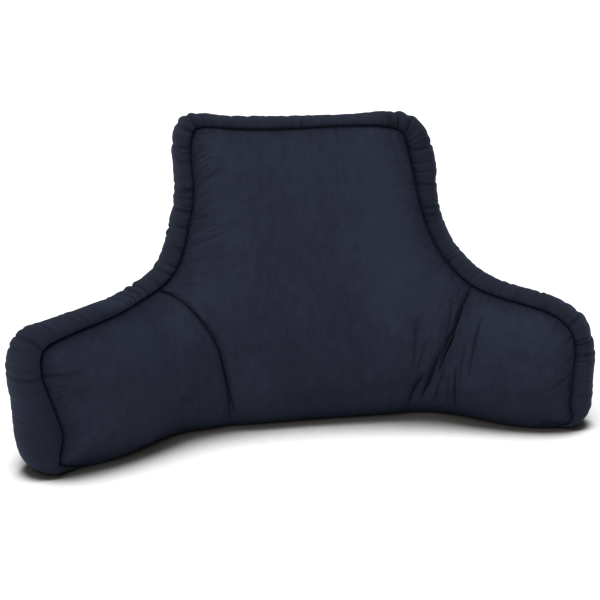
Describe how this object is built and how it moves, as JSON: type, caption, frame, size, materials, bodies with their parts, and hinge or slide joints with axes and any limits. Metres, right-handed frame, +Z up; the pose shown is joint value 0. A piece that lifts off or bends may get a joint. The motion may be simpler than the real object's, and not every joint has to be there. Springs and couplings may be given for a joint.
{
  "type": "bed-rest cushion",
  "caption": "Free-standing filled backrest cushion with a high tapered back, two forward arms and a stuffed roll sewn round the edge.",
  "frame": {"origin": "middle of the bounding box's underside, on the surface the cushion stands on", "axes": "+X across the width from the left arm to the right arm as seen by the sitter's front, +Y towards the rear, +Z up"},
  "size_m": [0.857, 0.3874, 0.4536],
  "materials": {
    "face_cloth": "matt sueded",
    "roll_cloth": "matt sueded"
  },
  "bodies": {
    "root": {"cushion_body": "face_cloth", "edge_roll": "roll_cloth"}
  },
  "joints": []
}
